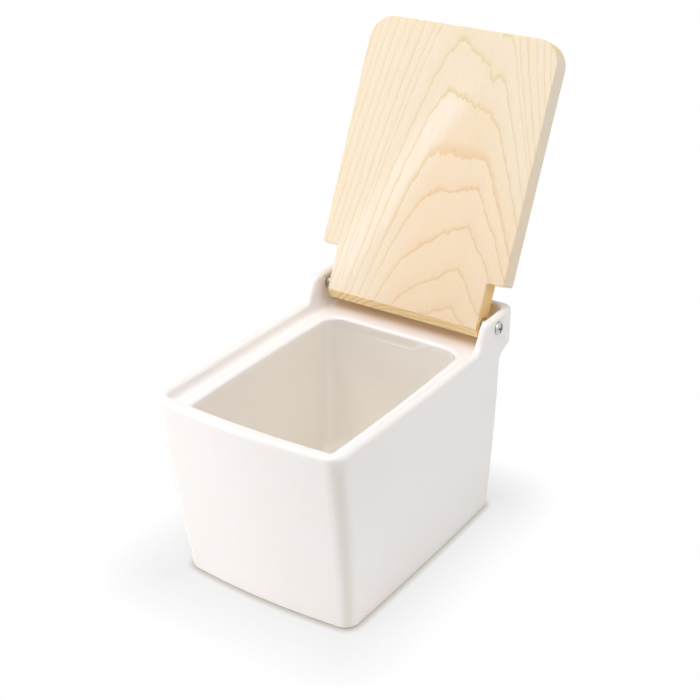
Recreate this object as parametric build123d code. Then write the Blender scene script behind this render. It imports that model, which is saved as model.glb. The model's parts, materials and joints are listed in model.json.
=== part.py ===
"""A countertop salt box: a glazed ceramic body with a wooden lid that turns on two screws.

Millimetres, +Z up. X runs across the box, -Y is its front, and the open lid leans back past +Y.
The box stands on the plane z = 0, and the origin is under the middle of its bounding box, with
the lid open. Places along Y are worked out from the hinge axis.
"""
from build123d import *
from math import cos, radians, sin, tan
import os

os.makedirs("parts", exist_ok=True)

# ---- ceramic body: outside ----
RIM_HEIGHT = 94.2          # table to the top of the lip, on which the lid closes
RIM_HALF_WIDTH = 49.9      # at the middle of the bowed sides
FOOT_HALF_WIDTH = 46.0
RIM_FRONT_REACH = 132.0    # hinge axis to the middle of the bowed front
FOOT_FRONT_REACH = 118.6
BACK_REACH = 6.5           # hinge axis to the upright back wall
FRONT_BOW = 3.0
SIDE_BOW = 1.1
BELLY = 0.9                # how far the sides swell between foot and rim
FOOT_CORNER_RADIUS = 6.5
RIM_CORNER_RADIUS = 8.5
BACK_CORNER_RADIUS = 5.0   # up the back wall and round the collar's rear corners

# ---- ceramic body: collar that carries the hinge ----
COLLAR_RISE = 11.6         # above the lip
COLLAR_REAR_REACH = 16.2   # hinge axis to the collar's rear face
COLLAR_FRONT_TOP = 9.8     # hinge axis to the front of the lugs, at their top
COLLAR_FRONT_LEAN = 6.0
COLLAR_THICK = 4.5
COLLAR_UNDERSIDE_DROP = 11.8   # from the lip down to where the underside meets the back wall
COLLAR_UNDERSIDE_ANGLE = 18.0
COLLAR_INNER_RADIUS = 4.0
LUG_TOP_RADIUS = 3.6
LUG_FOOT_RADIUS = 5.0
UNDERSIDE_EDGE_RADIUS = 4.2
UNDERSIDE_ROOT_RADIUS = 2.5

# ---- ceramic body: inside ----
LIP_THICK = 4.5            # at the middle of the sides
LIP_FRONT_THICK = 6.0      # at the middle of the front
LIP_SIDE_BOW = 0.2         # of its inner face, as is the next
LIP_FRONT_BOW = 2.0
LEDGE_DROP = 5.75          # from the lip down to the ledge
LEDGE_CORNER_RADIUS = 4.0
MOUTH_HALF_WIDTH = 37.6
MOUTH_BACK_REACH = 10.2    # hinge axis forward to the mouth's back edge
MOUTH_FRONT_LEDGE = 2.5    # ledge between the lip and the mouth, at the front
MOUTH_FRONT_RADIUS = 7.5
MOUTH_REAR_RADIUS = 9.0
CAVITY_DRAFT = 1.2         # how much further in the sides and back are at the floor
CAVITY_FRONT_DRAFT = 11.4  # the same for the front, which follows the outside
FLOOR_THICK = 7.0
FLOOR_RADIUS = 7.0

# ---- ceramic body: rounded edges and foot ----
RIM_OUTER_ROUND = 2.0
RIM_INNER_ROUND = 1.7
MOUTH_ROUND = 1.4
LEDGE_ROOT_RADIUS = 3.0    # from the ledge up to the lip and the collar
FOOT_ROUND = 1.2
FOOT_RING_WIDTH = 7.0
FOOT_RECESS = 1.2
FOOT_RECESS_ROUND = 0.85
FOOT_RECESS_FRONT_RADIUS = 5.0
FOOT_RECESS_REAR_RADIUS = 4.0

# ---- wooden lid ----
LID_WIDTH = 100.0
LID_THICK = 10.0
LID_FRONT_REACH = 131.0    # hinge axis to the front edge
NOTCH_REACH = 18.65        # hinge axis to the shoulders where the tongue starts
TONGUE_HALF_WIDTH = 41.35
TONGUE_REACH = 6.65        # hinge axis to the tongue's end
AXIS_DEPTH = 5.75          # hinge axis above the lid's underside
LID_CORNER_RADIUS = 12.0
SHOULDER_RADIUS = 1.6
BEVEL_ALONG = 3.8          # bevel under the tongue's end
BEVEL_UP = 4.3
SHOULDER_ROOT_RADIUS = 0.8
TONGUE_CORNER_RADIUS = 0.5
LID_EDGE_ROUND = 0.7
BEVEL_EDGE_MARGIN = 0.05   # the bevel's own edge is left sharp

# ---- hinge hardware ----
SCREW_RADIUS = 1.75
SCREW_LENGTH = 22.0        # under the head
SCREW_POINT = 4.0
SCREW_TIP_RADIUS = 0.25
HEAD_RADIUS = 3.2
HEAD_HEIGHT = 1.5
HEAD_SIDE_HEIGHT = 0.55    # up to where the crown starts
HEAD_SIDE_LEAN = 0.1
HEAD_SEAT_CHAMFER = 0.15
HEAD_FLAT_RADIUS = 1.3     # of the flat on top of the crown
HEAD_CROWN_INSET = 0.8     # a point that the crown's curve passes, in from the head's side
HEAD_CROWN_DROP = 0.32     # and down from its top
RECESS_SPAN = 4.9          # across the cross recess, at the top
RECESS_SLOT = 1.15
RECESS_FLOOR_SPAN = 2.5
RECESS_FLOOR_SLOT = 0.75
RECESS_DEPTH = 1.2
HEAD_TURN_RIGHT = 72.0
HEAD_TURN_LEFT = 65.0
SLEEVE_RADIUS = 2.7
SLEEVE_CHAMFER = 0.2
RUNNING_CLEARANCE = 0.08   # radial, between a screw and what turns on it
SIDE_CLEARANCE = 0.15      # along the axis, between faces that slide on each other
PILOT_CLEARANCE = 0.02
PILOT_SPARE = 0.5          # how far the hole in the tongue runs past the screw's point

# ---- how the lid stands ----
OPEN_ANGLE = 114.2         # from closed to how the lid stands here, held by friction
REST_GAP = 0.3             # left where the lid comes to rest on the glaze

# ---- cutting shapes, and picking edges ----
SPARE = 12.0               # how far a cutting shape runs past what it cuts
OVERLAP = 0.5              # how far one solid runs into the next that it joins
WIDE = 140.0
NEAR = 0.5                 # an edge this close to a face belongs to it

# ---- places worked out from the sizes ----
AXIS_HEIGHT = RIM_HEIGHT + REST_GAP + AXIS_DEPTH
REAR_REACH = (
    (LID_FRONT_REACH - LID_EDGE_ROUND) * sin(radians(OPEN_ANGLE - 90.0))
    + (LID_THICK - AXIS_DEPTH - LID_EDGE_ROUND) * cos(radians(OPEN_ANGLE - 90.0))
    + LID_EDGE_ROUND
)
HINGE_Y = (RIM_FRONT_REACH - REAR_REACH) / 2.0
COLLAR_TOP = RIM_HEIGHT + COLLAR_RISE
LEDGE_HEIGHT = RIM_HEIGHT - LEDGE_DROP
COLLAR_INNER_REACH = COLLAR_REAR_REACH - COLLAR_THICK


def side_at_axis(half_width, front, rear, side_bow, front_bow):
    """How far out a bowed side stands beside the hinge axis."""
    middle = (rear - front + front_bow) / 2.0
    half_length = (rear + front - front_bow) / 2.0
    return half_width - side_bow * (middle / half_length) ** 2


LUG_INNER = side_at_axis(RIM_HALF_WIDTH - LIP_THICK, RIM_FRONT_REACH - LIP_FRONT_THICK,
                         COLLAR_INNER_REACH, LIP_SIDE_BOW, LIP_FRONT_BOW)
LUG_OUTER = side_at_axis(RIM_HALF_WIDTH, RIM_FRONT_REACH, COLLAR_REAR_REACH + SPARE,
                         SIDE_BOW, FRONT_BOW)


def bowed_outline(z, half_width, front, rear, side_bow, front_bow):
    """A rectangle at height z whose sides and front swell outwards, with sharp corners."""
    corner_x = half_width - side_bow
    corner_y = -front + front_bow
    middle_y = (corner_y + rear) / 2.0
    left = ThreePointArc((-corner_x, rear), (-half_width, middle_y), (-corner_x, corner_y))
    face = ThreePointArc((-corner_x, corner_y), (0.0, -front), (corner_x, corner_y))
    right = ThreePointArc((corner_x, corner_y), (half_width, middle_y), (corner_x, rear))
    back = Line((corner_x, rear), (-corner_x, rear))
    return Pos(0.0, 0.0, z) * make_face([left, face, right, back])


def rounded(outline, front_radius, rear_radius):
    """The same outline with its two front and two rear corners rounded."""
    if front_radius > 0.0:
        outline = fillet(outline.vertices().sort_by(Axis.Y)[:2], front_radius)
    if rear_radius > 0.0:
        outline = fillet(outline.vertices().sort_by(Axis.Y)[-2:], rear_radius)
    return outline


def outer_outline(z):
    """The box's outside at height z; its rear edge lies past the collar and is cut away."""
    share = z / RIM_HEIGHT
    swell = 4.0 * BELLY * share * (1.0 - share)
    half_width = FOOT_HALF_WIDTH + share * (RIM_HALF_WIDTH - FOOT_HALF_WIDTH) + swell
    front = FOOT_FRONT_REACH + share * (RIM_FRONT_REACH - FOOT_FRONT_REACH)
    radius = FOOT_CORNER_RADIUS + share * (RIM_CORNER_RADIUS - FOOT_CORNER_RADIUS)
    outline = bowed_outline(z, half_width, front, COLLAR_REAR_REACH + SPARE, SIDE_BOW, FRONT_BOW)
    return rounded(outline, radius, 0.0)


def side_silhouette():
    """The box seen from its side, as a solid bar along X to cut the outside with."""
    front = -RIM_FRONT_REACH - SPARE
    rise = tan(radians(COLLAR_UNDERSIDE_ANGLE))
    root_z = RIM_HEIGHT - COLLAR_UNDERSIDE_DROP
    edge_z = root_z + rise * (COLLAR_REAR_REACH - BACK_REACH)
    lug_foot = (-COLLAR_FRONT_TOP - COLLAR_FRONT_LEAN, RIM_HEIGHT)
    lug_top = (-COLLAR_FRONT_TOP, COLLAR_TOP)
    edge = (COLLAR_REAR_REACH, edge_z)
    root = (BACK_REACH, root_z)
    corners = [(front, 0.0), (front, RIM_HEIGHT), lug_foot, lug_top,
               (COLLAR_REAR_REACH, COLLAR_TOP), edge, root, (BACK_REACH, 0.0)]
    radii = [(lug_foot, LUG_FOOT_RADIUS), (lug_top, LUG_TOP_RADIUS),
             (edge, UNDERSIDE_EDGE_RADIUS), (root, UNDERSIDE_ROOT_RADIUS)]
    face = Plane.YZ * make_face(Polyline(*corners, close=True))
    for (y, z), radius in radii:
        face = fillet(face.vertices().sort_by_distance((0.0, y, z))[:1], radius)
    return extrude(face, WIDE / 2.0, both=True)


def near_height(edges, z, tolerance=0.05):
    """The edges that lie wholly at height z."""
    picked = []
    for edge in edges:
        box = edge.bounding_box()
        if abs(box.min.Z - z) < tolerance and abs(box.max.Z - z) < tolerance:
            picked.append(edge)
    return picked


def outside_shape():
    """The box without its inside: bowed walls, collar, and rounded rear corners and top edge."""
    heights = [0.0, RIM_HEIGHT / 2.0, COLLAR_TOP + OVERLAP]
    shape = loft([outer_outline(z) for z in heights]) & side_silhouette()
    rear = [e for e in shape.edges()
            if abs(e.center().X) > FOOT_HALF_WIDTH - BACK_CORNER_RADIUS
            and e.center().Y > BACK_REACH - NEAR and e.center().Z < COLLAR_TOP - NEAR]
    shape = fillet(rear, BACK_CORNER_RADIUS)
    top = near_height(shape.edges(), RIM_HEIGHT) + near_height(shape.edges(), COLLAR_TOP)
    top = [e for e in top if abs(e.center().X) > RIM_HALF_WIDTH - BACK_CORNER_RADIUS - NEAR
           or e.center().Y < -RIM_FRONT_REACH + RIM_CORNER_RADIUS
           or e.center().Y > COLLAR_REAR_REACH - NEAR]
    return fillet(top, RIM_OUTER_ROUND)


def ledge_cut():
    """What is taken out above the ledge, inside the lip and the collar."""
    half_width = RIM_HALF_WIDTH - LIP_THICK
    outline = bowed_outline(LEDGE_HEIGHT, half_width, RIM_FRONT_REACH - LIP_FRONT_THICK,
                            COLLAR_INNER_REACH, LIP_SIDE_BOW, LIP_FRONT_BOW)
    outline = rounded(outline, LEDGE_CORNER_RADIUS, COLLAR_INNER_RADIUS)
    cut = extrude(outline, COLLAR_TOP + SPARE - LEDGE_HEIGHT)
    return fillet(near_height(cut.edges(), LEDGE_HEIGHT), LEDGE_ROOT_RADIUS)


def cavity_cut():
    """The salt's space, from the mouth in the ledge down to a rounded floor."""
    front = RIM_FRONT_REACH - LIP_FRONT_THICK - MOUTH_FRONT_LEDGE
    sections = []
    for z in (FLOOR_THICK, LEDGE_HEIGHT + SPARE):
        share = (LEDGE_HEIGHT - z) / (LEDGE_HEIGHT - FLOOR_THICK)
        inset = share * CAVITY_DRAFT
        outline = bowed_outline(z, MOUTH_HALF_WIDTH - inset, front - share * CAVITY_FRONT_DRAFT,
                                -MOUTH_BACK_REACH - inset, SIDE_BOW, LIP_FRONT_BOW)
        sections.append(rounded(outline, MOUTH_FRONT_RADIUS, MOUTH_REAR_RADIUS))
    cut = loft(sections)
    return fillet(near_height(cut.edges(), FLOOR_THICK), FLOOR_RADIUS)


def foot_cut():
    """The shallow hollow under the base that leaves a ring to stand on."""
    outline = bowed_outline(-OVERLAP, FOOT_HALF_WIDTH - FOOT_RING_WIDTH,
                            FOOT_FRONT_REACH - FOOT_RING_WIDTH, BACK_REACH - FOOT_RING_WIDTH,
                            SIDE_BOW, FRONT_BOW)
    outline = rounded(outline, FOOT_RECESS_FRONT_RADIUS, FOOT_RECESS_REAR_RADIUS)
    cut = extrude(outline, OVERLAP + FOOT_RECESS)
    return fillet(near_height(cut.edges(), FOOT_RECESS), FOOT_RECESS_ROUND)


def hinge_bores():
    """The holes through both lugs."""
    bore = Rot(0.0, 90.0, 0.0) * Cylinder(SCREW_RADIUS + RUNNING_CLEARANCE, WIDE)
    return Pos(0.0, 0.0, AXIS_HEIGHT) * bore


def ceramic_box():
    """The glazed body, in places measured from the hinge axis along Y."""
    shape = outside_shape() - ledge_cut()
    inner = []
    for edge in near_height(shape.edges(), RIM_HEIGHT) + near_height(shape.edges(), COLLAR_TOP):
        inside_x = abs(edge.center().X) < RIM_HALF_WIDTH - LIP_THICK + NEAR
        inside_front = edge.center().Y > -RIM_FRONT_REACH + LIP_THICK
        inside_rear = edge.center().Y < COLLAR_INNER_REACH + NEAR
        if inside_x and inside_front and inside_rear:
            inner.append(edge)
    shape = fillet(inner, RIM_INNER_ROUND)
    shape = shape - cavity_cut()
    shape = fillet(near_height(shape.edges(), LEDGE_HEIGHT), MOUTH_ROUND)
    shape = fillet(near_height(shape.edges(), 0.0), FOOT_ROUND)
    return shape - foot_cut() - hinge_bores()


def lid_board():
    """The lid, lying closed on the box, in places measured from the hinge axis along Y."""
    half = LID_WIDTH / 2.0
    corners = [(-half, -LID_FRONT_REACH), (half, -LID_FRONT_REACH), (half, -NOTCH_REACH),
               (TONGUE_HALF_WIDTH, -NOTCH_REACH), (TONGUE_HALF_WIDTH, TONGUE_REACH),
               (-TONGUE_HALF_WIDTH, TONGUE_REACH), (-TONGUE_HALF_WIDTH, -NOTCH_REACH),
               (-half, -NOTCH_REACH)]
    radii = [LID_CORNER_RADIUS, LID_CORNER_RADIUS, SHOULDER_RADIUS, SHOULDER_ROOT_RADIUS,
             TONGUE_CORNER_RADIUS, TONGUE_CORNER_RADIUS, SHOULDER_ROOT_RADIUS, SHOULDER_RADIUS]
    outline = make_face(Polyline(*corners, close=True))
    for (x, y), radius in zip(corners, radii):
        outline = fillet(outline.vertices().sort_by_distance((x, y, 0.0))[:1], radius)
    under = AXIS_HEIGHT - AXIS_DEPTH
    board = Pos(0.0, 0.0, under) * extrude(outline, LID_THICK)
    past_end = TONGUE_REACH + OVERLAP
    bevel_top = under + BEVEL_UP * (BEVEL_ALONG + OVERLAP) / BEVEL_ALONG
    wedge = Plane.YZ * make_face(Polyline(
        (TONGUE_REACH - BEVEL_ALONG, under), (past_end, under - OVERLAP), (past_end, bevel_top),
        close=True))
    board = board - extrude(wedge, WIDE / 2.0, both=True)
    board = fillet(near_height(board.edges(), under + LID_THICK), LID_EDGE_ROUND)
    lower = [e for e in near_height(board.edges(), under)
             if e.center().Y < TONGUE_REACH - BEVEL_ALONG - BEVEL_EDGE_MARGIN]
    board = fillet(lower, LID_EDGE_ROUND)
    uncut = 2.0 * (LUG_OUTER + SIDE_CLEARANCE - SCREW_LENGTH - PILOT_SPARE)
    pilot = Rot(0.0, 90.0, 0.0) * Cylinder(SCREW_RADIUS + PILOT_CLEARANCE, LID_WIDTH)
    pilot = pilot - Box(uncut, LID_THICK, LID_THICK)
    return board - Pos(0.0, 0.0, AXIS_HEIGHT) * pilot


def pan_screw():
    """A pan-head wood screw pointing down, its head standing on the plane z = 0."""
    centre = (0.0, 0.0)
    seat_edge = (HEAD_RADIUS - HEAD_SEAT_CHAMFER, 0.0)
    side_foot = (HEAD_RADIUS, HEAD_SEAT_CHAMFER)
    side_top = (HEAD_RADIUS - HEAD_SIDE_LEAN, HEAD_SIDE_HEIGHT)
    crown = (HEAD_RADIUS - HEAD_CROWN_INSET, HEAD_HEIGHT - HEAD_CROWN_DROP)
    flat_edge = (HEAD_FLAT_RADIUS, HEAD_HEIGHT)
    top = (0.0, HEAD_HEIGHT)
    profile = Plane.XZ * make_face([
        Line(centre, seat_edge), Line(seat_edge, side_foot), Line(side_foot, side_top),
        ThreePointArc(side_top, crown, flat_edge), Line(flat_edge, top), Line(top, centre),
    ])
    head = revolve(profile, Axis.Z)
    recess_floor = Pos(0.0, 0.0, HEAD_HEIGHT - RECESS_DEPTH) * Rectangle(RECESS_FLOOR_SPAN,
                                                                         RECESS_FLOOR_SLOT)
    recess_mouth = Pos(0.0, 0.0, HEAD_HEIGHT) * Rectangle(RECESS_SPAN, RECESS_SLOT)
    wing = loft([recess_floor, recess_mouth])
    head = head - wing - Rot(0.0, 0.0, 90.0) * wing
    body = SCREW_LENGTH - SCREW_POINT
    shank = Pos(0.0, 0.0, (OVERLAP - body) / 2.0) * Cylinder(SCREW_RADIUS, body + OVERLAP)
    point = Pos(0.0, 0.0, -body - SCREW_POINT / 2.0) * Cone(SCREW_TIP_RADIUS, SCREW_RADIUS,
                                                            SCREW_POINT)
    return head + shank + point


def spacer_sleeve():
    """The short tube that keeps a lug and the tongue apart, along Z from z = 0."""
    length = LUG_INNER - SIDE_CLEARANCE - TONGUE_HALF_WIDTH
    tube = Pos(0.0, 0.0, length / 2.0) * Cylinder(SLEEVE_RADIUS, length)
    tube = chamfer(tube.edges(), SLEEVE_CHAMFER)
    return tube - Pos(0.0, 0.0, length / 2.0) * Cylinder(SCREW_RADIUS + PILOT_CLEARANCE, length)


def on_hinge(shape, side, along, turn):
    """Lay a Z-standing shape on the hinge axis, its top outward on one side of the box."""
    laid = Rot(0.0, 90.0 * side, 0.0) * Rot(0.0, 0.0, turn) * shape
    return Pos(side * along, 0.0, AXIS_HEIGHT) * laid


def opened(shape):
    """Turn a shape from the closed place to the open one."""
    turn = Pos(0.0, 0.0, AXIS_HEIGHT) * Rot(-OPEN_ANGLE, 0.0, 0.0)
    return turn * Pos(0.0, 0.0, -AXIS_HEIGHT) * shape


head_seat = LUG_OUTER + SIDE_CLEARANCE
parts = {
    "ceramic_box": ceramic_box(),
    "wooden_lid": opened(lid_board()),
    "hinge_screw_right": on_hinge(pan_screw(), 1, head_seat, HEAD_TURN_RIGHT),
    "hinge_screw_left": on_hinge(pan_screw(), -1, head_seat, HEAD_TURN_LEFT),
    "spacer_sleeve_right": on_hinge(spacer_sleeve(), 1, TONGUE_HALF_WIDTH, 0.0),
    "spacer_sleeve_left": on_hinge(spacer_sleeve(), -1, TONGUE_HALF_WIDTH, 0.0),
}
for name, shape in parts.items():
    placed = Pos(0.0, HINGE_Y, 0.0) * shape
    export_step(placed, "parts/" + name + ".step")
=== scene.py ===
import json
from math import cos, radians, sin

import bpy
from mathutils import Matrix, Vector

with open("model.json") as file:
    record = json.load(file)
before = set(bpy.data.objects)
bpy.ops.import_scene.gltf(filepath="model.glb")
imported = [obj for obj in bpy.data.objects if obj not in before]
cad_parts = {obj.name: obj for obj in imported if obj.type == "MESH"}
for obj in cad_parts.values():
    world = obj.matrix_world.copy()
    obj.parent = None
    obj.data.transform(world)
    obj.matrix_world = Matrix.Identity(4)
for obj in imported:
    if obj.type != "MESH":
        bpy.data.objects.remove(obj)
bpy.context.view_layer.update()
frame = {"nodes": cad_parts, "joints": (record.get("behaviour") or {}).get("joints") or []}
MM = 0.001

# ---------------------------------------------------------------------------------------
# Ceramic box
# One slip-cast stoneware body, dipped in a warm white glossy glaze and fired standing on
# its foot ring. The ring is wiped bare before firing, so it shows the tan clay.
# ---------------------------------------------------------------------------------------
GLAZE_WHITE = (0.943, 0.905, 0.883)
GLAZE_THIN = (0.920, 0.870, 0.830)
# darker on the upright edges: partly thin glaze, partly painted shade
GLAZE_EDGE_THIN_AND_SHADED = (0.870, 0.820, 0.750)
# the ledge is painted lighter and bluer, as painted light against the shade and the yellow light
# bounced off the wood
GLAZE_LEDGE_PAINTED_LIGHT = (0.950, 0.925, 0.948)
# the inside's glaze is painted darker and warmer, as painted shade and warm bounce light
GLAZE_INSIDE_SHADED = (0.893, 0.857, 0.808)
# painted shade on the back wall under the rim
GLAZE_SHADE_UNDER_RIM = (0.760, 0.665, 0.560)
# the colour of the painted highlights inside the box
GLAZE_PAINTED_HIGHLIGHT = (0.985, 0.970, 0.955)
# painted warm shade where the wood closes the glaze in
GLAZE_WOOD_BOUNCE_SHADE = (0.955, 0.800, 0.560)
GLAZE_THIN_SHARE = 0.35
GLAZE_MOTTLE_MM = 34.0
GLAZE_ROUGHNESS = 0.13
GLAZE_ROUGHNESS_SPREAD = 0.03
GLAZE_IOR = 1.5
GLAZE_WAVE_MM = 26.0
GLAZE_WAVE_DEEP_MM = 0.35

# the foot ring: bare clay up to a line that wanders a little
BARE_CLAY = (0.60, 0.46, 0.33)
BARE_CLAY_DARK = (0.47, 0.35, 0.245)
CLAY_ROUGHNESS = 0.75
CLAY_GRIT_MM = 0.7
CLAY_GRIT_DEEP_MM = 0.12
WIPED_HEIGHT_MM = 1.0
WIPED_WANDER_MM = 0.5
WIPED_WANDER_STEP_MM = 9.0
WIPED_EDGE_MM = 0.1

# Each pair from here on says where a mask is nothing and where it is full. Lengths are in
# millimetres in the box's own frame.
EDGE_TURN = (0.30, 0.55)             # of a face on an upright edge, from square to diagonal
EDGE_HEIGHT_MM = (92.0, 89.0)
CAVITY_HEIGHT_MM = (88.4, 84.0)
CAVITY_ACROSS_MM = (42.0, 41.0)
CAVITY_BACK_MM = (35.5, 34.5)
CAVITY_FRONT_MM = (-78.0, -77.0)
CAVITY_FRONT_LEAN = 0.142            # of the front wall, for each millimetre up
CAVITY_FLOOR_MM = (4.0, 5.0)
# where the ledge's painted light lies, with less of it on the left
LEDGE_HEIGHT_MM = (84.0, 87.5)
LEDGE_ACROSS_MM = (48.0, 46.0)
LEDGE_FRONT_MM = (-90.0, -88.0)
LEDGE_LEFT_MM = (-42.0, -38.0)
LEDGE_LEFT_SHARE = 0.2

# painted highlights down the upright corners inside, where the glossy glaze would reflect the
# light: each one's direction, where it fades, and its share
HIGHLIGHT_STREAKS = ((32.0, 0.965, 0.995, 0.32), (55.0, 0.86, 0.98, 0.10))
# and a painted glint at the foot of the back left corner
GLINT_HEIGHT_MM = (24.0, 14.0)
GLINT_ACROSS_MM = (-26.0, -30.0)
GLINT_BACK_MM = (15.0, 19.0)

# where the glaze inside ran down from the ledge, on the back wall, and set in a sagging edge; its
# ridge has relief and a painted highlight, and above it, under the rim, the wall gets painted
# shade
SAG_HEIGHT_MM = 81.9
SAG_RISE_MM = 5.6
SAG_RISE_ACROSS_MM = (7.5, 22.0)
SAG_WANDER_MM = 0.4
SAG_WANDER_STEPS_PER_MM = 0.25
SAG_ACROSS_MM = (-14.0, 0.0)
SAG_BACK_MM = (24.0, 25.5)
SAG_RIDGE_HALF_MM = 1.6
SAG_RIDGE_HIGHLIGHT_SHARE = 0.5
SAG_RIDGE_DEEP_MM = 0.4
RIM_SHADE_ABOVE_MM = (0.4, 5.5)
RIM_SHADE_ACROSS_MM = (-40.0, 0.0)
RIM_SHADE_LEFT_SHARE = 0.3

# between the lugs, where the wood closes the glaze in: painted warm shade, the colour of the
# light that the wood bounces onto it
WOOD_SHADE_REACH_MM = 9.0
WOOD_SHADE_OPENNESS = (0.95, 0.60)
WOOD_SHADE_HEIGHT_MM = (84.0, 88.0)
WOOD_SHADE_BACK_MM = (33.5, 40.5)
WOOD_SHADE_ACROSS_MM = (44.0, 41.0)


def add_node(tree, kind, inputs=None, **settings):
    """Add a shader node, set its properties, and set or link its inputs by name or number."""
    node = tree.nodes.new("ShaderNode" + kind)
    for name, value in settings.items():
        setattr(node, name, value)
    for key, value in (inputs or {}).items():
        socket = node.inputs[key]
        if isinstance(value, bpy.types.NodeSocket):
            tree.links.new(value, socket)
        elif socket.type == "RGBA" and len(value) == 3:
            socket.default_value = (*value, 1.0)
        else:
            socket.default_value = value
    return node


def calculate(tree, operation, *values, clamp=False):
    """One Math node on one, two or three values; returns its output socket."""
    node = add_node(tree, "Math", dict(enumerate(values)), operation=operation, use_clamp=clamp)
    return node.outputs[0]


def product(tree, *values):
    """All the values multiplied together."""
    result = values[0]
    for value in values[1:]:
        result = calculate(tree, "MULTIPLY", result, value)
    return result


def spread(tree, value, low, high, to_low=0.0, to_high=1.0, smooth=False):
    """Map a value from one range to another, clamped at both ends."""
    kind = "SMOOTHSTEP" if smooth else "LINEAR"
    node = add_node(tree, "MapRange", {"Value": value, "From Min": low, "From Max": high,
                                       "To Min": to_low, "To Max": to_high},
                    interpolation_type=kind, clamp=True)
    return node.outputs["Result"]


def spread_mm(tree, metres, low_mm, high_mm, smooth=False):
    """A mask for a length in metres that lies between two limits in millimetres."""
    return spread(tree, metres, low_mm * MM, high_mm * MM, smooth=smooth)


def blend_colours(tree, share, first, second):
    """One colour Mix node; returns its colour output."""
    return add_node(tree, "Mix", {0: share, 6: first, 7: second}, data_type="RGBA").outputs[2]


def blend_values(tree, share, first, second):
    """One number Mix node; returns its output."""
    return add_node(tree, "Mix", {0: share, 2: first, 3: second}).outputs[0]


def coordinate(tree, kind):
    """The place on the piece ("Object") or the way it faces ("Normal"), in its own frame."""
    return tree.nodes.new("ShaderNodeTexCoord").outputs[kind]


def split(tree, vector):
    """The three parts of a vector."""
    return add_node(tree, "SeparateXYZ", {0: vector}).outputs[:]


def looks_along(tree, facing, direction):
    """How squarely a face looks in a direction, from -1 to 1."""
    node = add_node(tree, "VectorMath", {0: facing, 1: direction}, operation="DOT_PRODUCT")
    return node.outputs["Value"]


def object_place(tree, step_mm, stretch=(1.0, 1.0, 1.0)):
    """The point on the piece, counted in steps of step_mm, for noise to read."""
    steps = [1.0 / (step_mm * MM * part) for part in stretch]
    node = add_node(tree, "Mapping", {"Vector": coordinate(tree, "Object"), "Scale": steps})
    return node.outputs["Vector"]


def noise(tree, place, detail, roughness=0.5, scale=1.0):
    """Noise at a place that is counted in steps; returns its value."""
    return add_node(tree, "TexNoise", {"Vector": place, "Scale": scale, "Detail": detail,
                                       "Roughness": roughness}).outputs["Fac"]


def bump(tree, height, deep_mm, strength, over=None):
    """Relief from a height, over another normal if one is given; returns the normal."""
    node = add_node(tree, "Bump", {"Height": height, "Strength": strength,
                                   "Distance": deep_mm * MM})
    if over is not None:
        tree.links.new(over, node.inputs["Normal"])
    return node.outputs["Normal"]


def openness(tree, reach_mm):
    """How open the surface is within reach_mm: 1 in the open, near 0 where it is closed in."""
    return add_node(tree, "AmbientOcclusion", {"Distance": reach_mm * MM}).outputs["AO"]


def new_material(name):
    """An empty node material with a Principled shader wired to its output."""
    material = bpy.data.materials.new(name)
    material.use_nodes = True
    tree = material.node_tree
    tree.nodes.clear()
    shader = tree.nodes.new("ShaderNodeBsdfPrincipled")
    output = tree.nodes.new("ShaderNodeOutputMaterial")
    tree.links.new(shader.outputs["BSDF"], output.inputs["Surface"])
    return material, tree, shader


def new_group(name, outputs):
    """An empty node group with the outputs it names; returns it and its output node."""
    group = bpy.data.node_groups.new(name, "ShaderNodeTree")
    for output in outputs:
        group.interface.new_socket(output, in_out="OUTPUT", socket_type="NodeSocketFloat")
    return group, group.nodes.new("NodeGroupOutput")


def place_group(tree, group):
    """Put a node group in a material or in another group; returns its node."""
    node = tree.nodes.new("ShaderNodeGroup")
    node.node_tree = group
    return node


NOISE_RANGE = (0.3, 0.7)             # the noise that counts as nothing, and as full
MOTTLE_FINE_SCALE = 7.0
MOTTLE_FINE_SHARE = 0.3


def build_mottle_group():
    """Slow and fine unevenness for any surface: a tone mask and a roughness."""
    group, end = new_group("surface_mottle", ("Tone", "Roughness"))
    group.interface.new_socket("Place", in_out="INPUT", socket_type="NodeSocketVector")
    for name in ("Roughness", "Roughness Spread"):
        group.interface.new_socket(name, in_out="INPUT", socket_type="NodeSocketFloat")
    start = group.nodes.new("NodeGroupInput")
    slow = noise(group, start.outputs["Place"], detail=2.0, roughness=0.45)
    fine = noise(group, start.outputs["Place"], detail=3.0, roughness=0.6,
                 scale=MOTTLE_FINE_SCALE)
    tone = calculate(group, "MULTIPLY_ADD", fine, MOTTLE_FINE_SHARE, -0.5 * MOTTLE_FINE_SHARE)
    tone = calculate(group, "ADD", tone, slow)
    group.links.new(spread(group, tone, *NOISE_RANGE), end.inputs["Tone"])
    offset = spread(group, tone, *NOISE_RANGE, -1.0, 1.0)
    offset = product(group, offset, start.outputs["Roughness Spread"])
    rough = calculate(group, "ADD", offset, start.outputs["Roughness"], clamp=True)
    group.links.new(rough, end.inputs["Roughness"])
    return group


surface_mottle = build_mottle_group()


def mottle(tree, step_mm, roughness, roughness_spread, stretch=(1.0, 1.0, 1.0)):
    """Place the mottle group in a material; returns its tone and roughness sockets."""
    node = place_group(tree, surface_mottle)
    tree.links.new(object_place(tree, step_mm, stretch), node.inputs["Place"])
    node.inputs["Roughness"].default_value = roughness
    node.inputs["Roughness Spread"].default_value = roughness_spread
    return node.outputs["Tone"], node.outputs["Roughness"]


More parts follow.
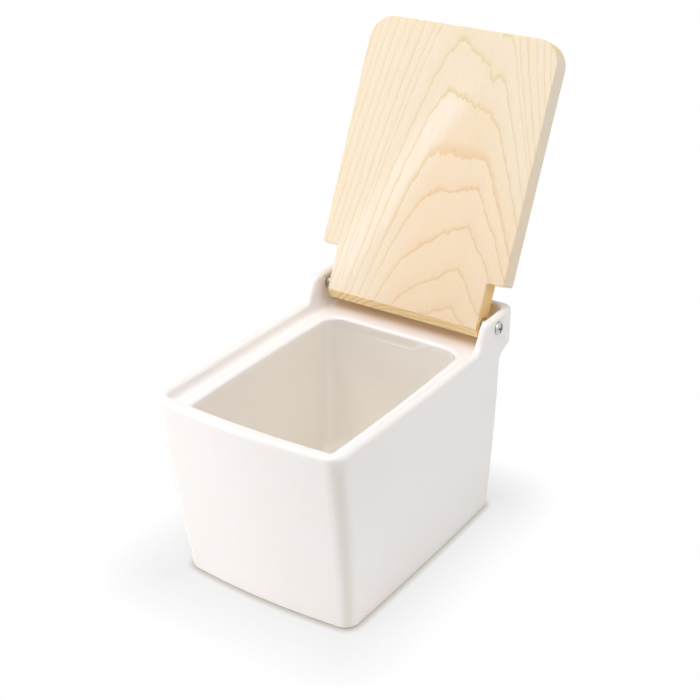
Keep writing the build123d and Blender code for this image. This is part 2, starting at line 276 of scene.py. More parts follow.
def build_cavity_group():
    """Masks for the inside of the box, the ledge around it, the painted highlights down its
    corners and at the foot of its back left corner, the ridge of the sag on its back wall, and
    the painted shade above that, under the rim."""
    group, end = new_group("glaze_in_cavity",
                           ("Inside", "On Ledge", "Painted Highlight", "Ridge", "Shade Under Rim"))
    place = add_node(group, "VectorMath", {0: coordinate(group, "Object"), "Scale": 1.0 / MM},
                     operation="SCALE").outputs[0]
    facing = coordinate(group, "Normal")
    x, y, z = split(group, place)
    off_middle = calculate(group, "ABSOLUTE", x)
    front = calculate(group, "ADD", y, product(group, z, CAVITY_FRONT_LEAN))
    inside = product(group, spread(group, z, *CAVITY_HEIGHT_MM),
                     spread(group, off_middle, *CAVITY_ACROSS_MM),
                     spread(group, y, *CAVITY_BACK_MM),
                     spread(group, front, *CAVITY_FRONT_MM),
                     spread(group, z, *CAVITY_FLOOR_MM))
    ledge = product(group, spread(group, z, *LEDGE_HEIGHT_MM),
                    spread(group, off_middle, *LEDGE_ACROSS_MM),
                    spread(group, y, *LEDGE_FRONT_MM),
                    spread(group, x, *LEDGE_LEFT_MM, LEDGE_LEFT_SHARE, 1.0))

    painted_highlight = 0.0
    for turn_deg, low, high, share in HIGHLIGHT_STREAKS:
        turn = radians(turn_deg)
        corner = looks_along(group, facing, (cos(turn), -sin(turn), 0.0))
        corner = spread(group, corner, low, high, 0.0, share, smooth=True)
        painted_highlight = calculate(group, "MAXIMUM", corner, painted_highlight)
    # a painted glint at the foot of the back left corner
    foot = product(group, spread(group, z, *GLINT_HEIGHT_MM, smooth=True),
                   spread(group, x, *GLINT_ACROSS_MM),
                   spread(group, y, *GLINT_BACK_MM))
    painted_highlight = product(group, calculate(group, "MAXIMUM", painted_highlight, foot), inside)

    edge = spread(group, x, *SAG_RISE_ACROSS_MM, SAG_HEIGHT_MM, SAG_HEIGHT_MM + SAG_RISE_MM,
                  smooth=True)
    wander = noise(group, place, detail=1.0, scale=SAG_WANDER_STEPS_PER_MM)
    wander = spread(group, wander, 0.0, 1.0, -SAG_WANDER_MM, SAG_WANDER_MM)
    above = calculate(group, "SUBTRACT", z, calculate(group, "ADD", edge, wander))
    on_back = product(group, spread(group, y, *SAG_BACK_MM), inside)
    reach = product(group, spread(group, x, *SAG_ACROSS_MM, smooth=True), on_back)
    ridge = spread(group, calculate(group, "ABSOLUTE", above), 0.0, SAG_RIDGE_HALF_MM, 1.0, 0.0,
                   smooth=True)
    rim_shade = product(group, spread(group, x, *RIM_SHADE_ACROSS_MM, RIM_SHADE_LEFT_SHARE, 1.0), on_back)
    masks = {"Inside": inside, "On Ledge": ledge, "Painted Highlight": painted_highlight,
             "Ridge": product(group, ridge, reach),
             "Shade Under Rim": product(group, spread(group, above, *RIM_SHADE_ABOVE_MM), rim_shade)}
    for name, mask in masks.items():
        group.links.new(mask, end.inputs[name])
    return group


glaze_in_cavity = build_cavity_group()


def glaze_material():
    """Glossy warm white glaze over a bare, wiped foot ring, painted darker and warmer inside the
    box as shade and warm bounce light.
    """
    material, tree, shader = new_material("warm_white_glaze")
    tone, gloss = mottle(tree, GLAZE_MOTTLE_MM, GLAZE_ROUGHNESS, GLAZE_ROUGHNESS_SPREAD)
    thin = spread(tree, tone, 0.0, 1.0, 0.0, GLAZE_THIN_SHARE)
    colour = blend_colours(tree, thin, GLAZE_WHITE, GLAZE_THIN)
    x, y, z = split(tree, coordinate(tree, "Object"))

    # the upright edges are darker, partly where the glaze breaks thin over them and partly as
    # painted shade on the corners; the ledge is painted lighter and bluer, as painted light
    facing_x, facing_y, _ = split(tree, coordinate(tree, "Normal"))
    edge = calculate(tree, "ABSOLUTE", product(tree, facing_x, facing_y))
    edge = product(tree, spread(tree, edge, *EDGE_TURN, smooth=True),
                   spread_mm(tree, z, *EDGE_HEIGHT_MM))
    colour = blend_colours(tree, edge, colour, GLAZE_EDGE_THIN_AND_SHADED)
    cavity = place_group(tree, glaze_in_cavity).outputs
    # the sag's ridge and the inner corners get a painted highlight
    ridge = product(tree, cavity["Ridge"], SAG_RIDGE_HIGHLIGHT_SHARE)
    painted_highlight = calculate(tree, "MAXIMUM", ridge, cavity["Painted Highlight"])
    # the ledge is painted lighter and bluer, as painted light; the inside darker and warmer, as
    # painted shade and warm bounce light; the wall under the rim gets painted shade; the corners,
    # the back left foot and the sag's ridge get painted highlights
    for mask, glaze in ((cavity["On Ledge"], GLAZE_LEDGE_PAINTED_LIGHT), (cavity["Inside"], GLAZE_INSIDE_SHADED),
                        (cavity["Shade Under Rim"], GLAZE_SHADE_UNDER_RIM), (painted_highlight, GLAZE_PAINTED_HIGHLIGHT)):
        colour = blend_colours(tree, mask, colour, glaze)

    # painted warm shade where the glaze is closed in by the wood
    wood_shade = product(tree, spread(tree, openness(tree, WOOD_SHADE_REACH_MM), *WOOD_SHADE_OPENNESS),
                      spread_mm(tree, z, *WOOD_SHADE_HEIGHT_MM),
                      spread_mm(tree, y, *WOOD_SHADE_BACK_MM, smooth=True),
                      spread_mm(tree, calculate(tree, "ABSOLUTE", x), *WOOD_SHADE_ACROSS_MM))
    colour = blend_colours(tree, wood_shade, colour, GLAZE_WOOD_BOUNCE_SHADE)

    # the glaze stops above the foot ring, where the clay is bare and gritty
    wander = noise(tree, object_place(tree, WIPED_WANDER_STEP_MM), detail=3.0)
    stop = calculate(tree, "MULTIPLY_ADD", wander, WIPED_WANDER_MM * MM,
                     (WIPED_HEIGHT_MM - 0.5 * WIPED_WANDER_MM) * MM)
    above = calculate(tree, "SUBTRACT", z, stop)
    glazed = spread_mm(tree, above, -WIPED_EDGE_MM, WIPED_EDGE_MM)
    grit = noise(tree, object_place(tree, CLAY_GRIT_MM), detail=4.0)
    clay = blend_colours(tree, grit, BARE_CLAY, BARE_CLAY_DARK)
    colour = blend_colours(tree, glazed, clay, colour)
    tree.links.new(colour, shader.inputs["Base Color"])
    rough = blend_values(tree, glazed, CLAY_ROUGHNESS, gloss)
    tree.links.new(rough, shader.inputs["Roughness"])
    shader.inputs["IOR"].default_value = GLAZE_IOR

    waves = noise(tree, object_place(tree, GLAZE_WAVE_MM), detail=1.0, roughness=0.4)
    normal = bump(tree, waves, GLAZE_WAVE_DEEP_MM, strength=0.35)
    normal = bump(tree, cavity["Ridge"], SAG_RIDGE_DEEP_MM, strength=0.4, over=normal)
    grain = product(tree, grit, calculate(tree, "SUBTRACT", 1.0, glazed))
    normal = bump(tree, grain, CLAY_GRIT_DEEP_MM, strength=0.5, over=normal)
    tree.links.new(normal, shader.inputs["Normal"])
    return material


def finish_node(name, material):
    """Give a carried-over piece its finish in place of the plain one."""
    piece = frame["nodes"][name]
    piece.data.materials.clear()
    piece.data.materials.append(material)


finish_node("ceramic_box", glaze_material())

# ---------------------------------------------------------------------------------------
# Wooden lid
# One flat-sawn board of pale ash, planed and oiled, with a narrower tongue between the
# hinge lugs. The growth rings cross its face as nested arches, run as near-straight lines
# along its left side, and go on through the thickness to the end grain.
# ---------------------------------------------------------------------------------------
hinge = [joint for joint in frame["joints"] if joint["name"] == "lid_hinge"][0]
HINGE_PLACE = hinge["pos_m"]
BOARD_TURN = radians(180.0 - hinge["range_deg"][1])
UNDERSIDE_MM = 5.75                  # from the hinge axis to the face that the rings are drawn on

# each growth ring: where its line crosses the middle of the face, along the board; how dark
# the line is; how warm the wood after it is; and the line's share of the ring
RINGS = (
    (-95, 0.6, 0.7, 0.10), (-78, 0.9, 0.8, 0.10), (-60, 0.5, 0.9, 0.10), (-42, 0.8, 0.9, 0.10),
    (-24, 0.6, 0.9, 0.10), (-4, 0.75, 1.0, 0.16), (12, 0.8, 0.9, 0.12),
    (35, 1.0, 0.8, 0.12), (56, 0.9, 0.8, 0.15), (72.5, 0.8, 1.0, 0.30),
    (97.5, 1.0, 0.3, 0.17), (118, 1.0, 0.1, 0.12), (146, 0.75, 0.3, 0.20),
    (157, 0.95, 0.4, 0.16), (178, 0.85, 0.4, 0.24), (206, 0.7, 0.5, 0.18),
    (231, 0.6, 0.3, 0.25), (258, 0.8, 0.5, 0.22), (291, 1.0, 0.5, 0.20), (317, 0.6, 0.4, 0.18),
    (344, 1.0, 0.6, 0.22), (372, 0.75, 0.4, 0.22), (400, 0.9, 0.5, 0.20),
)
# the arches' left leg: how it falls with the distance from the middle, and with its square
ARCH_LEFT_SLOPE = 1.0
ARCH_LEFT_CURVE = 0.08
# their crown: where it lies across the board, and how its tilt changes along it
CROWN_MM = (0.0, 25.0)
CROWN_MIDDLE_MM = 12.0
CROWN_TILT_AT_HINGE = 1.05
CROWN_TILT_PER_MM = -0.0135
CROWN_TILT_LIMITS = (-0.5, 0.7)
# their right leg
ARCH_RIGHT_START_MM = 26.0
ARCH_RIGHT_SLOPE = 1.05
ARCH_RIGHT_GROWTH = 0.0145
ARCH_ROUND_MM = 5.0
RING_DIP_PER_MM = 7.0                # how far a line moves along the board for each mm of depth
CROWDED_FROM = 118.0                 # the ring past which the right side's lines crowd
CROWDED_SHARE = 0.5
NICK_ACROSS_MM = 20.5
NICK_HALF_WIDTH_MM = 3.5
NICK_DEEP_MM = 5.0
NICK_ALONG_MM = (100.0, 108.0)
# waves in the rings: how long they are each way, their detail, and how far they reach by the
# hinge and by the front
RING_WAVES = (((15.0, 30.0, 15.0), 1.0, 7.0, 7.0), ((4.5, 12.0, 4.5), 1.0, 5.0, 6.0),
              ((1.3, 9.0, 1.3), 2.0, 2.0, 4.4))
RING_WAVES_ALONG_MM = (20.0, 90.0)
LINE_START = (0.975, 1.0)            # the last of a ring, where the next line darkens
HALO_REACH = 0.6                     # of a ring

WOOD_PALE = (0.843, 0.724, 0.558)
WOOD_STREAK = (0.905, 0.808, 0.675)
WOOD_WARM = (0.855, 0.670, 0.475)
WOOD_OLIVE = (0.865, 0.760, 0.585)
WOOD_LINE = (0.745, 0.510, 0.265)
WOOD_LINE_PALE = (0.740, 0.580, 0.320)
WOOD_END = (0.975, 0.750, 0.370)
WOOD_END_LINE = (0.680, 0.400, 0.110)
WOOD_SIDE = (0.905, 0.742, 0.562)
WOOD_SIDE_FRONT = (0.980, 0.865, 0.710)
# painted shade and warm bounce light on the tongue's sides
WOOD_TONGUE_SIDE_SHADED = (0.970, 0.650, 0.245)
WOOD_IOR = 1.45
WOOD_ROUGHNESS = 0.46
WOOD_ROUGHNESS_SPREAD = 0.06
WOOD_MOTTLE_MM = 6.0
WOOD_MOTTLE_STRETCH = (1.0, 5.0, 5.0)
WOOD_RELIEF_MM = 0.08

# where each tint lies, in millimetres across the board and along it from the hinge
WARM_ACROSS_MM = (-30.0, 4.0)
WARM_ALONG_MM = (130.0, 10.0)
WARM_FRONT_SHARE = 0.3
DRIFT_STEPS_MM = (30.0, 70.0, 30.0)
DRIFT_SHARE = 0.12
STREAK_AT_HINGE_MM = -42.0
STREAK_LEAN = 0.46
STREAK_OFF_MM = (2.0, 13.0)
STREAK_SHARE = 0.85
STREAK_ALONG_MM = (112.0, 95.0)
OLIVE_ACROSS_MM = (18.0, 44.0)
OLIVE_ALONG_MM = (60.0, 120.0)
OLIVE_SHARES = (0.2, 0.8)
SIDE_ALONG_MM = (30.0, 115.0)
OUTER_ACROSS_MM = (46.0, 48.0)       # between the tongue's sides and the board's own
# how squarely a face has to look that way to count as end grain or as a sawn side
END_FACING = (0.35, 0.75)
SIDE_FACING = (0.75, 0.98)
HALO_SHARE = 0.28
LINE_SHARE = 0.85
LINE_BETWEEN_PORES_SHARE = 0.45
END_SHARE = 0.8
END_LINE_SHARE = 0.75
SIDE_SHARE = 0.8
LINE_DEEPENS = (0.0, 0.5)            # with the warmth of the wood beside it
# fine marks: how long each is across, along and through the board, how much of the noise
# makes them, and their share
PORE_STEPS_MM = (0.35, 5.0, 0.35)
PORE_NOISE = (0.3, 0.62)
FIBRE_STEPS_MM = (0.55, 26.0, 0.55)
FIBRE_NOISE = (0.35, 0.70)
FIBRE_SHARE = 0.15
OPEN_PORE_STEPS_MM = (0.22, 2.6, 0.22)
OPEN_PORE_NOISE = (0.66, 0.74)
OPEN_PORE_SHARE = 0.35


def build_lid_place_group():
    """The point on the board in millimetres: across, along from the hinge, and below it."""
    group, end = new_group("place_on_board", ("Across", "Along", "Below"))
    group.interface.new_socket("Place", in_out="OUTPUT", socket_type="NodeSocketVector")
    board = add_node(group, "Mapping", {"Vector": coordinate(group, "Object"),
                                        "Location": HINGE_PLACE,
                                        "Rotation": (BOARD_TURN, 0.0, 0.0),
                                        "Scale": (MM, MM, MM)}, vector_type="TEXTURE")
    place = board.outputs["Vector"]
    for name, part in zip(("Across", "Along", "Below"), split(group, place)):
        group.links.new(part, end.inputs[name])
    group.links.new(place, end.inputs["Place"])
    return group


def board_noise(tree, place, steps_mm, detail=2.0, roughness=0.5):
    """Noise whose grains are steps_mm long across, along and through the board."""
    scaled = add_node(tree, "Mapping", {"Vector": place, "Scale": [1.0 / s for s in steps_mm]})
    return noise(tree, scaled.outputs["Vector"], detail, roughness)


def soft_ramp(tree, value):
    """The value where it is above nothing, with a rounded start."""
    return calculate(tree, "SMOOTH_MAX", value, 0.0, ARCH_ROUND_MM)


def count_rings(tree, ring):
    """Turn a place in the rings' own measure into a number of rings and a share of one."""
    low, high = RINGS[0][0], RINGS[-1][0]
    order = add_node(tree, "FloatCurve", {"Value": spread(tree, ring, low, high)})
    curve = order.mapping.curves[0]
    last = len(RINGS) - 1
    for number in range(1, last):
        curve.points.new((RINGS[number][0] - low) / (high - low), number / last)
    for point in curve.points:
        point.handle_type = "VECTOR"
    order.mapping.update()
    count = product(tree, order.outputs["Value"], float(last))
    return calculate(tree, "FLOOR", count), calculate(tree, "FRACT", count)


def look_up_ring(tree, number):
    """A ring's darkness, warmth and line share, kept as the red, green and blue of a ramp."""
    ramp = tree.nodes.new("ShaderNodeValToRGB")
    ramp.color_ramp.interpolation = "CONSTANT"
    stops = ramp.color_ramp.elements
    for index, (_, darkness, warmth, share) in enumerate(RINGS):
        place = index / len(RINGS)
        stop = stops[index] if index < 2 else stops.new(place)
        stop.position = place
        stop.color = (darkness, warmth, share, 1.0)
    pick = calculate(tree, "DIVIDE", calculate(tree, "ADD", number, 0.5), float(len(RINGS)))
    tree.links.new(pick, ramp.inputs["Fac"])
    return add_node(tree, "SeparateColor", {0: ramp.outputs["Color"]}).outputs[:]


def build_ring_group():
    """Growth rings of a flat-sawn board: masks for the dark line and for the halo after it,
    and a tone for each ring."""
    group, end = new_group("growth_rings", ("Line", "Halo", "Ring Tone"))
    board = place_group(group, place_on_board).outputs
    across, along, below = board["Across"], board["Along"], board["Below"]

    # the pale left side: lines that lean out and crowd towards the edge
    left = soft_ramp(group, product(group, across, -1.0))
    climb = product(group, left, left, ARCH_LEFT_CURVE)
    climb = calculate(group, "ADD", climb, product(group, left, ARCH_LEFT_SLOPE))

    # the crown of each arch tilts one way near the hinge and the other near the front
    least, most = CROWN_TILT_LIMITS
    tilt = calculate(group, "MULTIPLY_ADD", along, CROWN_TILT_PER_MM, CROWN_TILT_AT_HINGE)
    tilt = calculate(group, "MAXIMUM", calculate(group, "MINIMUM", tilt, most), least)
    crown = spread(group, across, *CROWN_MM, *CROWN_MM)
    lean = product(group, tilt, calculate(group, "SUBTRACT", crown, CROWN_MIDDLE_MM))

    # the right leg falls faster the further the arch stands from the hinge
    right = soft_ramp(group, calculate(group, "SUBTRACT", across, ARCH_RIGHT_START_MM))
    ring = calculate(group, "SUBTRACT", calculate(group, "ADD", along, climb), lean)
    ring = calculate(group, "ADD", ring, product(group, right, ARCH_RIGHT_SLOPE))
    shrink = calculate(group, "SUBTRACT", 1.0, product(group, right, ARCH_RIGHT_GROWTH))
    ring = calculate(group, "DIVIDE", ring, shrink)
    depth = calculate(group, "SUBTRACT", below, UNDERSIDE_MM)
    ring = calculate(group, "ADD", ring, product(group, depth, RING_DIP_PER_MM))
    over = calculate(group, "MAXIMUM", calculate(group, "SUBTRACT", ring, CROWDED_FROM), 0.0)
    over = product(group, over, spread(group, across, *CROWN_MM, 0.0, CROWDED_SHARE))
    ring = calculate(group, "ADD", ring, over)

    # a small nick in the lines near the front
    off_nick = calculate(group, "ABSOLUTE", calculate(group, "SUBTRACT", across, NICK_ACROSS_MM))
    nick = product(group, spread(group, off_nick, 0.0, NICK_HALF_WIDTH_MM, NICK_DEEP_MM, 0.0),
                   spread(group, along, *NICK_ALONG_MM))
    ring = calculate(group, "ADD", ring, nick)

    # slow waves, waves and small jags in every line
    for steps_mm, detail, hinge_reach_mm, front_reach_mm in RING_WAVES:
        wave = board_noise(group, board["Place"], steps_mm, detail)
        reach = spread(group, along, *RING_WAVES_ALONG_MM, hinge_reach_mm, front_reach_mm)
        wave = product(group, calculate(group, "SUBTRACT", wave, 0.5), reach)
        ring = calculate(group, "ADD", ring, wave)

    number, within = count_rings(group, ring)
    darkness, warmth, share = look_up_ring(group, number)
    fade = spread(group, within, 0.0, share, 1.0, 0.0, smooth=True)
    line = calculate(group, "MAXIMUM", fade, spread(group, within, *LINE_START, smooth=True))
    halo = spread(group, within, 0.0, HALO_REACH, 1.0, 0.0)
    group.links.new(product(group, line, darkness), end.inputs["Line"])
    group.links.new(product(group, halo, halo, darkness), end.inputs["Halo"])
    group.links.new(warmth, end.inputs["Ring Tone"])
    return group


place_on_board = build_lid_place_group()
growth_rings = build_ring_group()


def board_material():
    """Oiled ash: rings, pores and fibres on the faces, darker end grain, paler sawn sides, and
    the tongue's sides painted deep orange as shade and warm bounce light.
    """
    material, tree, shader = new_material("oiled_ash")
    board = place_group(tree, place_on_board).outputs
    across, along, place = board["Across"], board["Along"], board["Place"]
    rings = place_group(tree, growth_rings).outputs

    # broad colour: pale on the left and towards the front, warmer inside the arches, a paler
    # streak up the left of them, and a little greener on the right
    warm = product(tree, spread(tree, across, *WARM_ACROSS_MM, smooth=True),
                   spread(tree, along, *WARM_ALONG_MM, WARM_FRONT_SHARE, 1.0),
                   rings["Ring Tone"])
    drift = spread(tree, board_noise(tree, place, DRIFT_STEPS_MM), *NOISE_RANGE,
                   -DRIFT_SHARE, DRIFT_SHARE)
    warm = calculate(tree, "ADD", warm, drift, clamp=True)
    colour = blend_colours(tree, warm, WOOD_PALE, WOOD_WARM)
    middle = calculate(tree, "MULTIPLY_ADD", along, -STREAK_LEAN, -STREAK_AT_HINGE_MM)
    off_streak = calculate(tree, "ABSOLUTE", calculate(tree, "ADD", across, middle))
    streak = product(tree, spread(tree, off_streak, *STREAK_OFF_MM, STREAK_SHARE, 0.0,
                                  smooth=True),
                     spread(tree, along, *STREAK_ALONG_MM))
    colour = blend_colours(tree, streak, colour, WOOD_STREAK)
    olive = product(tree, spread(tree, across, *OLIVE_ACROSS_MM, smooth=True),
                    spread(tree, along, *OLIVE_ALONG_MM, *OLIVE_SHARES))
    colour = blend_colours(tree, olive, colour, WOOD_OLIVE)

    # the lines, broken up by pores, each with a halo that fades into its ring
    line_colour = blend_colours(tree, spread(tree, warm, *LINE_DEEPENS), WOOD_LINE_PALE,
                                WOOD_LINE)
    halo = product(tree, rings["Halo"], HALO_SHARE)
    colour = blend_colours(tree, halo, colour, line_colour)
    pores = board_noise(tree, place, PORE_STEPS_MM, roughness=0.7)
    line = product(tree, rings["Line"],
                   spread(tree, pores, *PORE_NOISE, LINE_BETWEEN_PORES_SHARE, 1.0), LINE_SHARE)
    colour = blend_colours(tree, line, colour, line_colour)

    # fibres and the odd open pore
    fibre = board_noise(tree, place, FIBRE_STEPS_MM, detail=3.0, roughness=0.6)
    fibre_share = spread(tree, fibre, *FIBRE_NOISE, 0.0, FIBRE_SHARE)
    colour = blend_colours(tree, fibre_share, colour, WOOD_LINE)
    open_pore = board_noise(tree, place, OPEN_PORE_STEPS_MM, detail=1.0)
    open_pore = spread(tree, open_pore, *OPEN_PORE_NOISE, 0.0, OPEN_PORE_SHARE)
    colour = blend_colours(tree, open_pore, colour, WOOD_LINE)

    # faces by their direction: the tongue's end and the front are end grain, the sides sawn
    facing = coordinate(tree, "Normal")
    along_board = looks_along(tree, facing, (0.0, cos(BOARD_TURN), sin(BOARD_TURN)))
    end_grain = spread(tree, calculate(tree, "ABSOLUTE", along_board), *END_FACING)
    colour = blend_colours(tree, product(tree, end_grain, END_SHARE), colour, WOOD_END)
    cut_line = calculate(tree, "MAXIMUM", rings["Line"], rings["Halo"])
    cut_line = product(tree, cut_line, end_grain, END_LINE_SHARE)
    colour = blend_colours(tree, cut_line, colour, WOOD_END_LINE)
    side = calculate(tree, "ABSOLUTE", split(tree, facing)[0])
    side = product(tree, spread(tree, side, *SIDE_FACING), SIDE_SHARE)
    outer = spread(tree, calculate(tree, "ABSOLUTE", across), *OUTER_ACROSS_MM)
    sawn = blend_colours(tree, spread(tree, along, *SIDE_ALONG_MM), WOOD_SIDE, WOOD_SIDE_FRONT)
    # the tongue's sides, between the lugs, are painted a deep orange: painted shade and the warm
    # light bounced onto them
    sawn = blend_colours(tree, outer, WOOD_TONGUE_SIDE_SHADED, sawn)
    colour = blend_colours(tree, side, colour, sawn)
    tree.links.new(colour, shader.inputs["Base Color"])

    _, rough = mottle(tree, WOOD_MOTTLE_MM, WOOD_ROUGHNESS, WOOD_ROUGHNESS_SPREAD,
                      WOOD_MOTTLE_STRETCH)
    tree.links.new(rough, shader.inputs["Roughness"])
    shader.inputs["IOR"].default_value = WOOD_IOR
    hollow = product(tree, calculate(tree, "ADD", line, open_pore), 0.5)
    relief = calculate(tree, "SUBTRACT", product(tree, fibre, 0.5), hollow)
    tree.links.new(bump(tree, relief, WOOD_RELIEF_MM, strength=0.35), shader.inputs["Normal"])
    return material


finish_node("wooden_lid", board_material())

# ---------------------------------------------------------------------------------------
# Hinge screws
# Two pan-head wood screws with a cross recess, bright zinc plate over steel. Each goes in
# through a lug and a sleeve and bites into the edge of the tongue, and turns with the lid.
# ---------------------------------------------------------------------------------------
ZINC = (0.66, 0.67, 0.68)
ZINC_DULL = (0.46, 0.47, 0.48)
ZINC_ROUGHNESS = 0.24
ZINC_MOTTLE_MM = 1.4
METAL_ROUGHNESS_SPREAD = 0.08
# painted shade where the metal is closed in
RECESS_PAINTED_SHADE = (0.045, 0.050, 0.060)
RECESS_SHADE_REACH_MM = 1.5
RECESS_SHADE_OPENNESS = (0.35, 0.8)
TURNED_STEP_MM = 0.25
TURNED_STRETCH = (0.3, 4.0, 4.0)
TURNED_DEEP_MM = 0.02


def metal_material(name, bright, dull, roughness, mottle_mm):
    """Bare or plated steel with faint blotches, fine turned lines, and painted shade where it's
    closed in."""
    material, tree, shader = new_material(name)
    tone, rough = mottle(tree, mottle_mm, roughness, METAL_ROUGHNESS_SPREAD)
    colour = blend_colours(tree, tone, bright, dull)
    # painted shade in the recess and where the piece meets its neighbours
    unshaded = spread(tree, openness(tree, RECESS_SHADE_REACH_MM), *RECESS_SHADE_OPENNESS)
    colour = blend_colours(tree, unshaded, RECESS_PAINTED_SHADE, colour)
    tree.links.new(colour, shader.inputs["Base Color"])
    shader.inputs["Metallic"].default_value = 1.0
    tree.links.new(rough, shader.inputs["Roughness"])
    turned = noise(tree, object_place(tree, TURNED_STEP_MM, TURNED_STRETCH), detail=2.0)
    tree.links.new(bump(tree, turned, TURNED_DEEP_MM, strength=0.25), shader.inputs["Normal"])
    return material


screw_finish = metal_material("zinc_plated_screw", ZINC, ZINC_DULL, ZINC_ROUGHNESS,
                              ZINC_MOTTLE_MM)
for side in ("left", "right"):
    finish_node("hinge_screw_" + side, screw_finish)

# ---------------------------------------------------------------------------------------
# Spacer sleeves
# Two short lengths of plain steel tube on the screws. Each keeps its lug and the tongue
# nearly four millimetres apart, and turns with the lid.
# ---------------------------------------------------------------------------------------
SLEEVE_STEEL = (0.50, 0.49, 0.48)
SLEEVE_STEEL_DULL = (0.34, 0.33, 0.32)
SLEEVE_ROUGHNESS = 0.36
SLEEVE_MOTTLE_MM = 2.0

sleeve_finish = metal_material("plain_steel_sleeve", SLEEVE_STEEL, SLEEVE_STEEL_DULL,
                               SLEEVE_ROUGHNESS, SLEEVE_MOTTLE_MM)
for side in ("left", "right"):
    finish_node("spacer_sleeve_" + side, sleeve_finish)

# ---------------------------------------------------------------------------------------
# Floor
# A seamless white floor, far larger than the box. Close in it keeps a little of the box's real
# shadow, under a painted shadow that darkens towards the foot and a painted contact shadow along
# it; further out it is plain white, for the camera and for reflections.
# ---------------------------------------------------------------------------------------
FLOOR_HALF_M = 4.0
FLOOR_WHITE = (0.97, 0.97, 0.97)
FLOOR_ROUGHNESS = 0.9
PLAIN_WHITE = (1.0, 1.0, 1.0)
NEAR_SHADOW_TONE = 0.845            # painted shadow: the tone of the white that the camera sees right beside the foot
NEAR_SHARE = 0.8             # of that white in what it sees there; the rest is shaded floor
FOOT_HALF_MM = (46.0, 67.0)
FOOT_MIDDLE_MM = (-3.0, -19.0)
FADE_MM = 34.0               # from the foot to where the floor is plain white
# a painted contact shadow along the foot, where the floor is closed in
CONTACT_REACH_MM = 3.4
CONTACT_OPENNESS = (0.5, 1.0)
CONTACT_PAINTED_SHADE = (0.65, 0.615, 0.535)


def off_foot(tree):
    """How far a point on the floor lies outside the foot, in metres."""
    middle = [-part * MM for part in (*FOOT_MIDDLE_MM, 0.0)]
    half = [part * MM for part in (*FOOT_HALF_MM, 0.0)]
    place = add_node(tree, "Mapping", {"Vector": coordinate(tree, "Object"),
                                       "Location": middle}).outputs["Vector"]
    for operation, second in (("ABSOLUTE", None), ("SUBTRACT", half),
                              ("MAXIMUM", (0.0, 0.0, 0.0))):
        inputs = {0: place} if second is None else {0: place, 1: second}
        place = add_node(tree, "VectorMath", inputs, operation=operation).outputs["Vector"]
    return add_node(tree, "VectorMath", {0: place}, operation="LENGTH").outputs["Value"]


def seen_plainly(tree):
    """1 for what the camera sees, itself or in a reflection, and 0 for light on the object."""
    rays = tree.nodes.new("ShaderNodeLightPath").outputs
    return calculate(tree, "MAXIMUM", rays["Is Camera Ray"], rays["Is Glossy Ray"])


def floor_material():
    """White floor: close to the box the camera sees mostly a painted shadow with painted contact
    shade, over a little real shade; further out it is plain white.
    """
    material, tree, shader = new_material("white_floor")
    shader.inputs["Base Color"].default_value = (*FLOOR_WHITE, 1.0)
    shader.inputs["Roughness"].default_value = FLOOR_ROUGHNESS
    shader.inputs["Specular IOR Level"].default_value = 0.0
    output = [node for node in tree.nodes if node.type == "OUTPUT_MATERIAL"][0]
    away = off_foot(tree)
    # painted shadow: the camera's white darkens towards the foot, with painted contact shade
    # where the floor is closed in
    tone = spread(tree, away, 0.0, FADE_MM * MM, NEAR_SHADOW_TONE, 1.0)
    clear = spread(tree, openness(tree, CONTACT_REACH_MM), *CONTACT_OPENNESS)
    painted_contact_shadow = blend_colours(tree, clear, CONTACT_PAINTED_SHADE, PLAIN_WHITE)
    glow = add_node(tree, "Emission", {"Color": painted_contact_shadow, "Strength": tone})
    share = spread(tree, away, 0.0, FADE_MM * MM, NEAR_SHARE, 1.0)
    mix = add_node(tree, "MixShader", {0: product(tree, share, seen_plainly(tree)),
                                       1: shader.outputs["BSDF"], 2: glow.outputs["Emission"]})
    tree.links.new(mix.outputs["Shader"], output.inputs["Surface"])
    return material


floor_mesh = bpy.data.meshes.new("white_floor")
corners = [(x * FLOOR_HALF_M, y * FLOOR_HALF_M, 0.0)
           for x, y in ((-1, -1), (1, -1), (1, 1), (-1, 1))]
floor_mesh.from_pydata(corners, [], [(0, 1, 2, 3)])
floor_mesh.materials.append(floor_material())
floor = bpy.data.objects.new("white_floor", floor_mesh)
bpy.context.scene.collection.objects.link(floor)

# ---------------------------------------------------------------------------------------
# Light
# A pale room, brightest to the right and behind. Soft boxes hang overhead and above the
# front, two more stand on the left, and a narrow lamp reaches in from high on the right.
# ---------------------------------------------------------------------------------------
ROOM_WALLS = (
    # direction, and how bright the room is there
    ((0.69, 0.69, 0.21), 1.23),
    ((0.64, 0.0, 0.77), 0.92),
)
WALL_NARROWNESS = 5.0
SOFT_BOXES = (
    # name, place, aimed at, width, height, watts
    ("soft_box_left", (-0.44, -0.36, 0.15), (0.0, -0.08, 0.05), 0.45, 0.40, 1.42),
    ("soft_box_side", (-0.95, -0.42, 0.55), (0.0, -0.03, 0.05), 0.9, 0.9, 1.28),
    ("soft_box_top", (-0.15, -0.15, 1.25), (0.0, 0.0, 0.0), 1.1, 1.1, 4.7),
    ("soft_box_front", (-0.1, -0.6, 1.1), (0.0, 0.0, 0.05), 0.9, 0.9, 6.5),
)
SNOOT_PLACE = (0.42, 0.02, 0.40)
SNOOT_TARGET = (-0.045, 0.0, 0.10)
SNOOT_WATTS = 1.4
SNOOT_DEG = 16.0
SNOOT_SOFT_M = 0.05


def hang_lamp(name, lamp, place, target, watts):
    """Put a lamp in the scene at a place, turned to look at its target."""
    lamp.energy = watts
    piece = bpy.data.objects.new(name, lamp)
    piece.location = place
    direction = Vector(target) - piece.location
    piece.rotation_euler = direction.to_track_quat("-Z", "Y").to_euler()
    bpy.context.scene.collection.objects.link(piece)


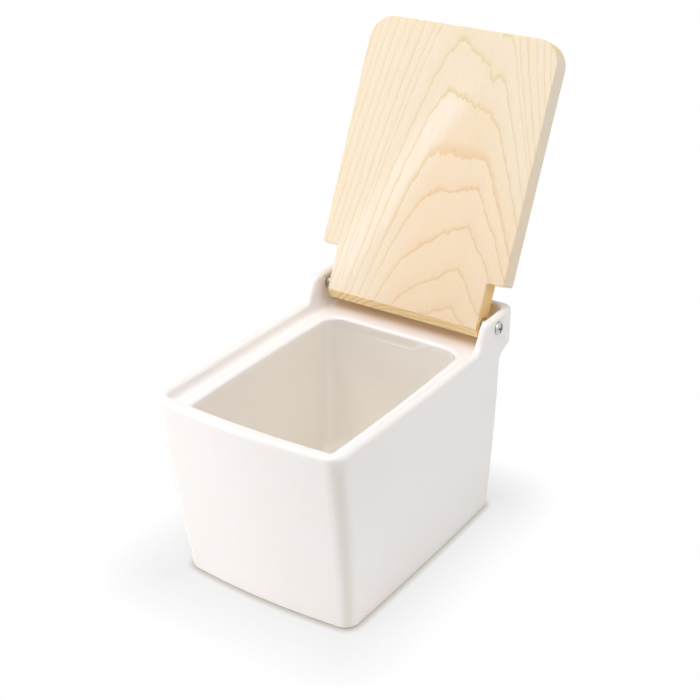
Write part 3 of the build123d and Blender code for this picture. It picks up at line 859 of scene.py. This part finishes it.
# the narrow lamp reaches over the lip, to the lugs and the left ledge
snoot = bpy.data.lights.new("snoot_right", "SPOT")
snoot.spot_size = radians(SNOOT_DEG)
snoot.spot_blend = 1.0
snoot.shadow_soft_size = SNOOT_SOFT_M
hang_lamp("snoot_right", snoot, SNOOT_PLACE, SNOOT_TARGET, SNOOT_WATTS)

for name, place, target, width, height, watts in SOFT_BOXES:
    soft_box = bpy.data.lights.new(name, "AREA")
    soft_box.shape = "RECTANGLE"
    soft_box.size = width
    soft_box.size_y = height
    hang_lamp(name, soft_box, place, target, watts)

world = bpy.data.worlds.new("bright_room")
world.use_nodes = True
bpy.context.scene.world = world
room = world.node_tree
room.nodes.clear()
direction = coordinate(room, "Generated")
level = 0.0
for wall, brightness in ROOM_WALLS:
    facing = calculate(room, "MAXIMUM", looks_along(room, direction, wall), 0.0)
    facing = calculate(room, "POWER", facing, WALL_NARROWNESS)
    level = calculate(room, "ADD", product(room, facing, brightness), level)
level = blend_values(room, seen_plainly(room), level, 1.0)
background = add_node(room, "Background", {"Color": PLAIN_WHITE, "Strength": level})
room_output = room.nodes.new("ShaderNodeOutputWorld")
room.links.new(background.outputs["Background"], room_output.inputs["Surface"])

# ---------------------------------------------------------------------------------------
# Camera
# Above and to the right of the front, on a long lens that keeps the box's edges nearly
# parallel.
# ---------------------------------------------------------------------------------------
CAMERA_PLACE = (0.31811, -0.48134, 0.38699)
CAMERA_AZIMUTH_DEG = 34.075
CAMERA_ELEVATION_DEG = 27.162
CAMERA_ROLL_DEG = -0.353
LENS_MM = 72.51
SENSOR_MM = 36.0
NEAREST_M = 0.01
LIGHT_BOUNCES = 12           # white walls pass the light between them many times

azimuth = radians(CAMERA_AZIMUTH_DEG)
elevation = radians(CAMERA_ELEVATION_DEG)
roll = radians(CAMERA_ROLL_DEG)
back = Vector((sin(azimuth) * cos(elevation), -cos(azimuth) * cos(elevation), sin(elevation)))
level_right = Vector((cos(azimuth), sin(azimuth), 0.0))
level_up = back.cross(level_right)
right = cos(roll) * level_right + sin(roll) * level_up
up = -sin(roll) * level_right + cos(roll) * level_up
turned = Matrix((right, up, back)).transposed().to_4x4()

lens = bpy.data.cameras.new("camera")
lens.lens = LENS_MM
lens.sensor_width = SENSOR_MM
lens.sensor_fit = "HORIZONTAL"
lens.clip_start = NEAREST_M
camera = bpy.data.objects.new("camera", lens)
camera.matrix_world = Matrix.Translation(CAMERA_PLACE) @ turned
bpy.context.scene.collection.objects.link(camera)
bpy.context.scene.camera = camera
bpy.context.scene.view_settings.view_transform = "Standard"
bpy.context.scene.cycles.diffuse_bounces = LIGHT_BOUNCES
